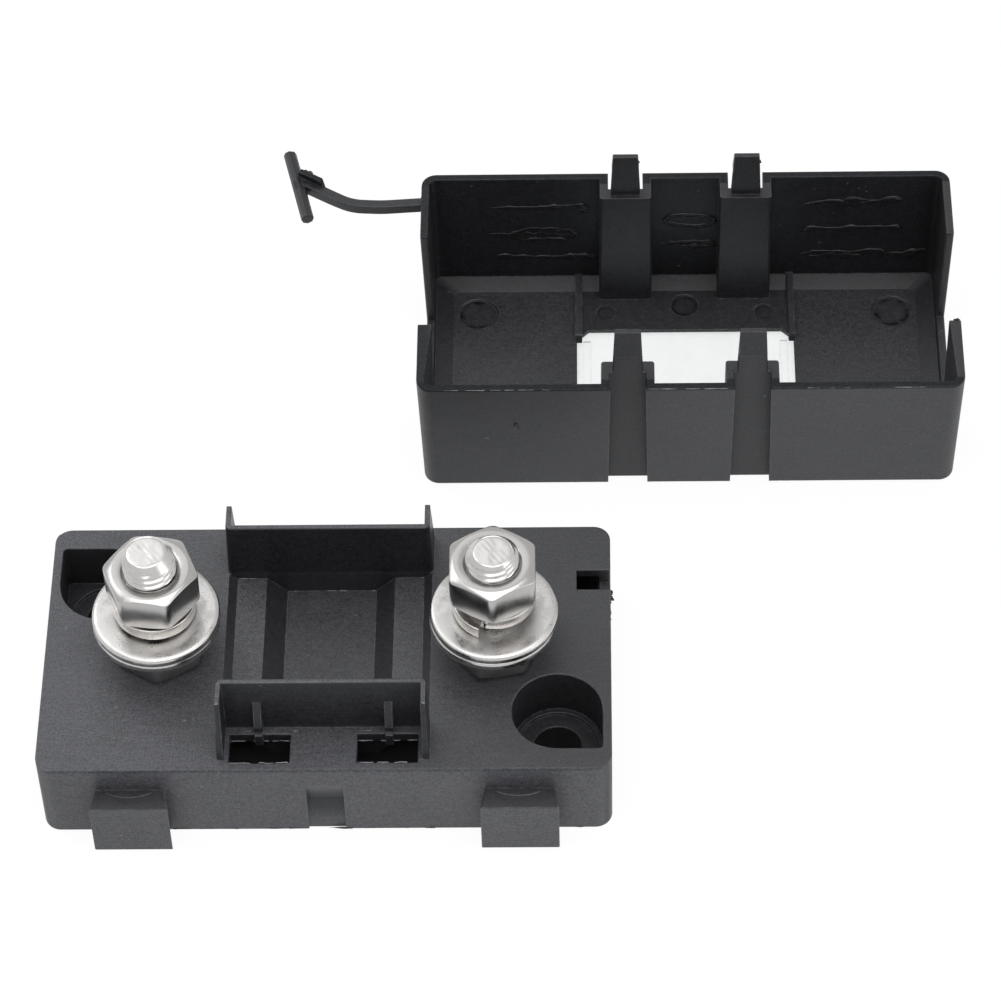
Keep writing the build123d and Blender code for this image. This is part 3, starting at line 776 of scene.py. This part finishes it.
# %% Mouldings with rounded edges
SOFT = 3.0
ROUNDING = 0.25
NARROW = 0.6


def softness(point, softer):
    """How many times the usual radius the edges have at a point."""
    return SOFT if any(all(a < c < b for a, c, b in zip(low, point, high)) for low, high in softer) else 1.0


def folds(shape, surface, width, softer):
    """Points where a rounded shape strays from the CAD surface or faces the wrong way."""
    spots = []
    for vertex in shape.verts:
        if surface.find_nearest(vertex.co)[3] > 0.3 * width * softness(vertex.co, softer):
            spots.append(vertex.co.copy())
    bmesh.ops.triangulate(shape, faces=shape.faces)
    for face in shape.faces:
        if face.calc_area() > 0.004:
            if face.normal.dot(surface.find_nearest(face.calc_center_median())[1]) < 0.3:
                shortest = min(face.edges, key=lambda edge: edge.calc_length())
                spots += [vertex.co.copy() for vertex in shortest.verts]
    return spots


def near_a_fold(edge, tree, reach):
    """Whether any point of the edge is within reach of a fold."""
    first, last = (vertex.co for vertex in edge.verts)
    steps = max(1, int(edge.calc_length() / 0.3))
    return any(tree.find(first.lerp(last, k / steps))[2] < reach for k in range(steps + 1))


def rounded_over(name, shape, width, softer, rounds=12):
    """The mesh of shape with its outer edges rounded, more so in the softer boxes."""
    surface = BVHTree.FromBMesh(shape)
    weight = shape.edges.layers.float.new("bevel_weight_edge")
    for edge in shape.edges:
        if len(edge.link_faces) == 2 and edge.is_convex and edge.calc_face_angle(0) > radians(30):
            edge[weight] = softness((edge.verts[0].co + edge.verts[1].co) / 2, softer) / SOFT
    for tries in range(rounds):
        mesh = bpy.data.meshes.new(name)
        shape.to_mesh(mesh)
        trial = add_object(name, mesh)
        bevel = trial.modifiers.new("edges", "BEVEL")
        bevel.width, bevel.segments = width * SOFT, 3
        bevel.limit_method, bevel.miter_outer = "WEIGHT", "MITER_ARC"
        bevel.use_clamp_overlap = False
        rounded = bmesh.new()
        rounded.from_object(trial, bpy.context.evaluated_depsgraph_get())
        bpy.data.objects.remove(trial)
        spots = folds(rounded, surface, width, softer)
        if not spots or tries == rounds - 1:
            return rounded, len(spots)
        tree = KDTree(len(spots))
        for i, spot in enumerate(spots):
            tree.insert(spot, i)
        tree.balance()
        for edge in shape.edges:
            if edge[weight] and near_a_fold(edge, tree, 1.6 * width * max(1.0, SOFT * edge[weight])):
                edge[weight] = edge[weight] * 0.5 if edge[weight] > 0.08 else 0.0


def region_widths(shape):
    """How wide the flat region is that each face belongs to, in millimetres."""
    widths = {}
    for first in shape.faces:
        if first in widths:
            continue
        region, waiting = {first}, [first]
        while waiting:
            face = waiting.pop()
            for edge in face.edges:
                for other in edge.link_faces:
                    if other not in region and other.normal.dot(first.normal) > 0.9998:
                        region.add(other)
                        waiting.append(other)
        corners = [vertex.co for face in region for vertex in face.verts]
        low = Vector([min(c[i] for c in corners) for i in range(3)])
        high = Vector([max(c[i] for c in corners) for i in range(3)])
        width = sum(face.calc_area() for face in region) / max((high - low).length, 1e-6)
        widths.update((face, width) for face in region)
    return widths


def keep_flats_flat(made):
    """Gives each corner the normal of the faces round it on the same surface."""
    shape = bmesh.new()
    shape.from_mesh(made.data)
    shape.transform(Matrix.Scale(1 / MM, 4))
    widths = region_widths(shape)
    areas = {face: face.calc_area() for face in shape.faces}
    normals = []
    for face in shape.faces:
        for loop in face.loops:
            total = Vector()
            for other in loop.vert.link_faces:
                both_wide = min(widths[face], widths[other]) > NARROW
                limit = cos(radians(12 if both_wide else 35))
                if face.normal.dot(other.normal) > limit:
                    total += other.normal * areas[other]
            normals.append(total.normalized() if total.length > 1e-9 else face.normal.copy())
    shape.free()
    made.data.normals_split_custom_set(normals)


def add_moulding(node, material, slot, softer=(), bent=None):
    """A copy of a CAD node, bent a little if asked, with its sharp edges rounded over."""
    shape = bmesh.new()
    shape.from_mesh(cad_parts[node].data)
    shape.transform(Matrix.Scale(1 / MM, 4))
    bmesh.ops.remove_doubles(shape, verts=shape.verts, dist=0.004)
    bmesh.ops.dissolve_degenerate(shape, edges=shape.edges, dist=0.004)
    low = [min(vertex.co[i] for vertex in shape.verts) for i in range(3)]
    high = [max(vertex.co[i] for vertex in shape.verts) for i in range(3)]
    if bent:
        for vertex in shape.verts:
            vertex.co = bent(vertex.co)
    rounded, left = rounded_over(node, shape, ROUNDING, softer)
    for vertex in rounded.verts:
        vertex.co = [min(max(at, least), most) for at, least, most in zip(vertex.co, low, high)]
    made = piece(node + "_moulding", rounded, material, "holder", slot, stands_for=node, sharp=180)
    keep_flats_flat(made)
    print(node, len(made.data.polygons), "faces,", left, "folds left")


WING_TIPS = [((side - 2.2, 12.0, 15.8), (side + 2.2, 19.0, 40.0)) for side in (-16.0, 16.0)]
add_moulding("base", BASE_PLASTIC, "base_plastic", WING_TIPS)

JAMB_INSIDE = (41.2, 42.2)
JAMB_ALONG = (45.6, 57.2)
JAMB_FOOT = 4.5
JAMB_GROWTH = {-1: 1.0, 1: 0.6}


def thicker_jambs(point):
    """The walls in front of the cable opening thicken a little towards it, and upwards."""
    side = -1 if point.x < COVER_X else 1
    inside = JAMB_INSIDE[0] < abs(point.x - COVER_X) < JAMB_INSIDE[1]
    if inside and JAMB_ALONG[0] < point.y < JAMB_ALONG[1] and point.z > JAMB_FOOT:
        share = (point.y - 45.5) / 11.6 * (point.z - 4.4) / 20.2
        return Vector((point.x - side * share * JAMB_GROWTH[side], point.y, point.z))
    return point


add_moulding("cover", COVER_PLASTIC, "cover_plastic", bent=thicker_jambs)

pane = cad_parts["window_pane"]
pane.data.materials.clear()
pane.data.materials.append(CLEAR_PLASTIC)

# %% [markdown]
# ## Beads
# Moulding leaves thin raised lines: a parting line, a ring round an ejector
# pin, a thread of flash where two halves of the mould met. On the back wall
# inside the cover, wavy glossy beads run across where the melt fronts met.
# All of them are one thing: a low lens-shaped bead along a soft curve.


# %% Beads along a curve
BEAD_SIDES = 10


def smooth_path(points, per_span=7):
    """A curve through all the points (Catmull-Rom)."""
    points = [Vector(p) for p in points]
    padded = [points[0] * 2 - points[1]] + points + [points[-1] * 2 - points[-2]]
    path = []
    for a, b, c, d in zip(padded, padded[1:], padded[2:], padded[3:]):
        for i in range(per_span):
            t = i / per_span
            path.append(0.5 * (b * 2 + (c - a) * t + (a * 2 - b * 5 + c * 4 - d) * t ** 2
                               + (b * 3 - a - c * 3 + d) * t ** 3))
    return path + [points[-1]]


def bead(shape, points, normal, width, height, seed, swell=0.25, looped=False):
    """Adds one bead to shape: half as wide as width on each side, and height proud."""
    path = smooth_path(points + [points[0]] if looped else points)
    normal = Vector(normal).normalized()
    rings = []
    last = len(path) - 1
    for i, point in enumerate(path):
        along = (path[min(i + 1, last)] - path[max(i - 1, 0)]).normalized()
        side = along.cross(normal).normalized()
        taper = 1.0 if looped else min(1.0, 0.25 + sin(pi * (i + 0.35) / (last + 0.7)) * 2.2)
        size = taper * (1 + swell * 2 * noise.noise(point * 0.6 + Vector((seed, 0, 0))))
        ring = []
        for a in turns_of(BEAD_SIDES):
            up = sin(a) * height * size
            ring.append(point + side * (cos(a) * width / 2 * size) + normal * max(up, -height * 0.5))
        rings.append(ring)
    rows = stitched(rings, shape, closed=False)
    shape.faces.new(list(reversed(rows[0])))
    shape.faces.new(rows[-1])


def between(start, end, steps):
    """Even steps from start to end."""
    return [start + (end - start) * t / steps for t in range(steps + 1)]


def bead_piece(name, shape, material, slot):
    """A piece of beads or lumps that stays with the holder."""
    return piece(name, shape, material, "holder", slot, sharp=80)


def on_back_wall(x, z):
    """A point on the inner face of the cover's back wall, from its place on the cover."""
    return (COVER_X + x, COVER_Y + 20.92 + (z - 2.2) * 0.0468, z)


WALL_RIDGES = [
    ([(-32.0, 18.2), (-28.1, 18.2), (-23.0, 18.2), (-18.3, 18.6), (-16.2, 18.2), (-16.4, 17.5),
      (-17.6, 17.4)], 0.9),
    ([(-32.6, 12.2), (-28.3, 11.8), (-25.9, 13.1), (-23.0, 12.9), (-19.3, 12.8), (-17.6, 11.4)], 1.3),
    ([(-29.0, 11.3), (-25.0, 11.9), (-21.0, 11.7), (-18.2, 11.5)], 1.5),
    ([(-27.3, 10.7), (-23.5, 10.9), (-19.3, 10.7)], 0.9),
    ([(-31.4, 7.1), (-27.4, 6.9), (-21.2, 6.7), (-17.4, 7.0), (-14.8, 6.7), (-15.6, 6.3)], 0.9),
    ([(-4.1, 9.7), (-0.5, 9.9), (3.2, 10.0), (4.9, 9.4), (3.2, 9.0), (-0.4, 9.0)], 1.0),
    ([(19.1, 18.1), (23.4, 19.0), (27.8, 18.4), (31.3, 19.0), (35.2, 19.4), (36.3, 18.8)], 1.0),
    ([(25.1, 18.9), (28.6, 19.2), (32.8, 19.1)], 1.2),
    ([(19.3, 12.3), (21.4, 12.9), (24.5, 12.7), (28.9, 13.0), (34.4, 13.0), (36.0, 12.7)], 0.9),
    ([(19.2, 6.9), (22.5, 7.4), (26.9, 7.2), (31.4, 7.5), (34.0, 7.0), (36.7, 6.8), (40.0, 7.8)], 1.0),
    ([(20.8, 6.3), (25.2, 6.6), (29.7, 6.3)], 1.1)]
MIDDLE_LOOP = [(-3.5, 15.0), (-2.2, 16.0), (1.1, 16.2), (3.8, 15.8),
               (5.0, 15.1), (3.8, 14.1), (1.8, 13.7), (-2.2, 14.3)]

ridges = bmesh.new()
for i, (points, width) in enumerate(WALL_RIDGES):
    bead(ridges, [on_back_wall(*p) for p in points], (0, -1, 0), width, 0.20, i * 3.7, swell=0.6)
bead(ridges, [on_back_wall(*p) for p in MIDDLE_LOOP], (0, -1, 0), 0.9, 0.26, 50, looped=True)
ridges = bead_piece("cover_wall_ridges", ridges, GLOSSY_PLASTIC, "cover_plastic")
print("ridges", len(ridges.data.polygons), "faces")

# %% [markdown]
# ## Flash and pin marks
# Flash is plastic that crept between the halves of the mould. It stands as
# pale ragged threads along the base's finger slots and the cover's front rim,
# as specks behind the trough and the slots, and glossy along the base's foot.
# Pin marks show as arcs on the two tabs.

# %% Flash threads and pin marks
chance = random.Random(41)
SLOT_LINES = [(-16.5, 13.85, (0, -1, 0.2)), (-21.7, 15.44, (0, 1, 0.4))]
SPECKS = [
    (-1.0, 0.6, 13.94, 11.24), (1.1, 2.3, 13.94, 11.24), (6.2, 6.7, 13.94, 11.24), (-6.0, -5.4, 13.9, 11.24),
    (9.9, 10.5, 13.94, 14.3), (13.8, 14.3, 13.94, 14.44), (-14.3, -11.2, 13.94, 14.44),
    (-11.8, -10.9, -15.9, 15.52), (-4.6, -3.9, -15.9, 15.52), (5.2, 7.1, -15.9, 15.52)]
FINGERS = [(COVER_X - 12.1, 6.2), (COVER_X + 12.1, 6.2)]
TABS = [(-29.25, 6.5), (29.25, 6.5)]

threads = bmesh.new()
for side in (-1, 1):
    near, far = sorted((side * 5.05, side * 14.1))
    for y, z, facing in SLOT_LINES:
        start = near
        while start < far - 1.2:
            reach = min(start + chance.uniform(1.4, 3.6), far - 0.05)
            points = [(x, y + chance.uniform(-0.04, 0.04), z + chance.uniform(-0.05, 0.05))
                      for x in between(start, reach, 4)]
            bead(threads, points, facing, chance.uniform(0.10, 0.22), 0.10, start, swell=0.5)
            start = reach + chance.uniform(0.1, 1.4)
for start, reach, y, z in SPECKS:
    bead(threads, [(x, y, z) for x in between(start, reach, 3)], (0, -1, 1), 0.12, 0.07, start, swell=0.5)
threads = bead_piece("slot_flash", threads, PALE_PLASTIC, "base_plastic")


def broken_line(start, end, lengths, gaps, kept, breaks):
    """Where each thread of a ragged line starts and ends, with none near a break."""
    while start < end:
        reach = start + chance.uniform(*lengths)
        broken = any(abs((start + reach) / 2 - middle) < half for middle, half in breaks)
        if not broken and chance.random() < kept:
            yield start, reach
        start = reach + chance.uniform(*gaps)


rim_threads = bmesh.new()
for start, reach in broken_line(14.6, 97.0, (1.0, 5.0), (0.2, 1.6), 0.75, FINGERS):
    points = [(x, 43.175 + chance.uniform(-0.02, 0.02), 24.53) for x in between(start, reach, 3)]
    bead(rim_threads, points, (0, -1, 1), chance.uniform(0.05, 0.10), 0.05, start, swell=0.6)
rim_threads = bead_piece("rim_flash", rim_threads, PALE_PLASTIC, "cover_plastic")

flash = bmesh.new()
for x in (-29.4, 29.1):
    turns = [radians(a) for a in range(-28, 29, 8)]
    arc = [(x + 7.5 * sin(a), -16.85 - 7.5 * cos(a), 10.5) for a in turns]
    bead(flash, arc, (0, 0, 1), 0.20, 0.07, x, swell=0.3)
run = [(-12.75, BASE_FRONT, 14.9), (-12.9, BASE_FRONT, 12.0), (-13.15, BASE_FRONT, 9.0), (-13.3, BASE_FRONT, 5.2)]
bead(flash, run, (0, -1, 0), 0.13, 0.06, 7)
branch = [(-13.7, BASE_FRONT, 7.1), (-13.3, BASE_FRONT, 7.0), (-12.9, BASE_FRONT, 7.2)]
bead(flash, branch, (0, -1, 0), 0.3, 0.12, 9)
flash = bead_piece("base_flash", flash, BASE_PLASTIC, "base_plastic")

foot_flash = bmesh.new()
for start, reach in broken_line(-39.0, 39.0, (1.0, 4.0), (0.3, 2.5), 0.7, TABS):
    points = [(x, -22.95, 0.22 + chance.uniform(0, 0.06)) for x in between(start, reach, 3)]
    bead(foot_flash, points, (0, -1, 0), chance.uniform(0.16, 0.26), 0.12, start, swell=0.6)
foot_flash = bead_piece("foot_flash", foot_flash, GLOSSY_PLASTIC, "base_plastic")
print("flash", [len(o.data.polygons) for o in (threads, rim_threads, flash, foot_flash)], "faces")

# %% [markdown]
# ## Nubs and crumbs
# Small torn bits stay where the runners were cut and where flash broke off:
# beside the tips of the snap fingers, at the cable opening, on the cover's
# left rim, and along the base's right edge. Each is a ball, bent out of shape.


# %% Torn bits
def crumb(shape, place, size, seed):
    """Adds one irregular lump about place, with its three half sizes in millimetres."""
    made = bmesh.ops.create_icosphere(shape, subdivisions=3, radius=1.0)
    for vertex in made["verts"]:
        coarse = 0.55 * noise.noise(vertex.co * 1.3 + Vector((seed, 0, 0)))
        fine = 0.25 * noise.noise(vertex.co * 3.1 + Vector((0, seed, 0)))
        lump = 1 + coarse + fine
        vertex.co = Vector([c * lump * s for c, s in zip(vertex.co, size)]) + Vector(place)


COVER_CRUMBS = [
    ((48.15, 85.0, 32.0), (0.24, 0.22, 0.34)), ((67.80, 85.0, 31.9), (0.24, 0.22, 0.30)),
    ((47.95, 45.9, 29.35), (0.20, 0.18, 0.16)), ((67.60, 45.9, 29.3), (0.20, 0.18, 0.14)),
    ((98.45, 75.65, 24.5), (0.40, 0.26, 0.26)), ((98.35, 57.15, 24.5), (0.5, 0.24, 0.26)),
    ((98.5, 55.9, 24.4), (0.24, 0.4, 0.2)),
    ((13.6, 49.6, 24.5), (0.16, 0.40, 0.16)), ((13.5, 48.3, 24.5), (0.18, 0.35, 0.16)),
    ((13.55, 46.9, 24.5), (0.14, 0.45, 0.16)),
    ((28.3, 43.38, 15.6), (0.34, 0.14, 0.42)), ((28.6, 43.42, 15.0), (0.20, 0.10, 0.22)),
    ((-6.3, 90.75, 24.0), (0.75, 0.55, 0.75)), ((-5.6, 90.3, 24.3), (0.4, 0.4, 0.5))]
BASE_CRUMBS = [
    ((43.05, 10.2, 15.0), (0.40, 0.55, 0.35)), ((43.10, 9.1, 15.1), (0.50, 0.40, 0.35)),
    ((42.95, 8.2, 15.2), (0.25, 0.30, 0.20)), ((42.95, 6.4, 15.2), (0.20, 0.55, 0.20)),
    ((42.92, 4.9, 15.2), (0.22, 0.40, 0.18)), ((42.92, 3.2, 15.2), (0.16, 0.65, 0.16))]
for name, crumbs, slot in (("cover_crumbs", COVER_CRUMBS, "cover_plastic"),
                           ("base_crumbs", BASE_CRUMBS, "base_plastic")):
    lumps = bmesh.new()
    for i, (place, size) in enumerate(crumbs):
        crumb(lumps, place, size, i * 2.3 + 0.7)
    lumps = bead_piece(name, lumps, GLOSSY_PLASTIC, slot)
    print(name, len(lumps.data.polygons), "faces")

# %% [markdown]
# ## Floor and light
# The photograph has a pure white ground. The floor glows white for the camera
# and for reflections, and only partly takes light, so a soft shadow stays.
# The glow is left out under the base, a painted shadow that keeps its slots
# dark. One large soft box hangs overhead, and the white floor throws light
# back at the sides.


# %% Stage
def looked_at(finish):
    """1 for what is seen, mirrored or seen through the pane, and 0 for light."""
    seen = finish.node("ShaderNodeLightPath", output="Is Camera Ray")
    glossy = finish.node("ShaderNodeLightPath", output="Is Glossy Ray")
    through = finish.node("ShaderNodeLightPath", output="Is Transmission Ray")
    return seen.most(glossy).most(through)


def add_floor():
    """A white sheet under the object that keeps a faint shadow."""
    finish = Finish("white_floor")
    white = looked_at(finish)
    out = finish.node("ShaderNodeVectorMath", {"operation": "ABSOLUTE"}, {0: finish.place()})
    across, deep = finish.parts(out)[:2]
    # Painted shadow: no glow under the base's footprint.
    outside_painted_shadow = deep.ramp(20.5 * MM, 22.2 * MM).most(across.ramp(40.5 * MM, 42.5 * MM))
    glow = finish.node("ShaderNodeEmission", {}, {
        "Color": (1, 1, 1, 1), "Strength": white * outside_painted_shadow * 0.93})
    paper = finish.node("ShaderNodeBsdfDiffuse", {}, {
        "Color": finish.mix(white, (0.93, 0.93, 0.93, 1), (0.10, 0.10, 0.10, 1))})
    sheet = finish.output(finish.node("ShaderNodeAddShader", {}, {0: glow, 1: paper}))
    shape = bmesh.new()
    bmesh.ops.create_grid(shape, x_segments=1, y_segments=1, size=3000)
    floor = add_object("floor", mesh_of("floor", shape))
    floor.data.materials.append(sheet)
    floor.location.z = -0.02 * MM


def add_world():
    """A pale room to look at and to be mirrored, and a dim one for the light it gives."""
    world = bpy.data.worlds.new("studio")
    bpy.context.scene.world = world
    finish = Finish("studio", world)
    dim = finish.node("ShaderNodeBackground", {}, {"Color": (0.93, 0.96, 1.0, 1), "Strength": 0.40})
    pale = finish.node("ShaderNodeBackground")
    finish.output(finish.blended(looked_at(finish), dim, pale), "ShaderNodeOutputWorld")


def add_lamp(name, place, aim, size, power, colour=(1, 1, 1)):
    """A soft box at place, in millimetres, that faces aim."""
    data = bpy.data.lights.new(name, "AREA")
    data.shape, data.size, data.energy, data.color = "SQUARE", size * MM, power, colour
    lamp = add_object(name, data)
    lamp.location = Vector(place) * MM
    lamp.rotation_euler = (Vector(aim) - Vector(place)).to_track_quat("-Z", "Y").to_euler()


add_floor()
add_world()
MIDDLE = (25, 35, 10)
add_lamp("softbox_above", (60, -200, 880), MIDDLE, 900, 4.4, (1.0, 0.99, 0.98))
add_lamp("softbox_back", (-250, 620, 760), MIDDLE, 600, 0.6)
add_lamp("softbox_left", (-260, 170, 330), (-40, 0, 15), 220, 0.25)
add_lamp("softbox_right", (850, -320, 380), MIDDLE, 450, 1.0)
bpy.context.scene.view_settings.view_transform = "Standard"
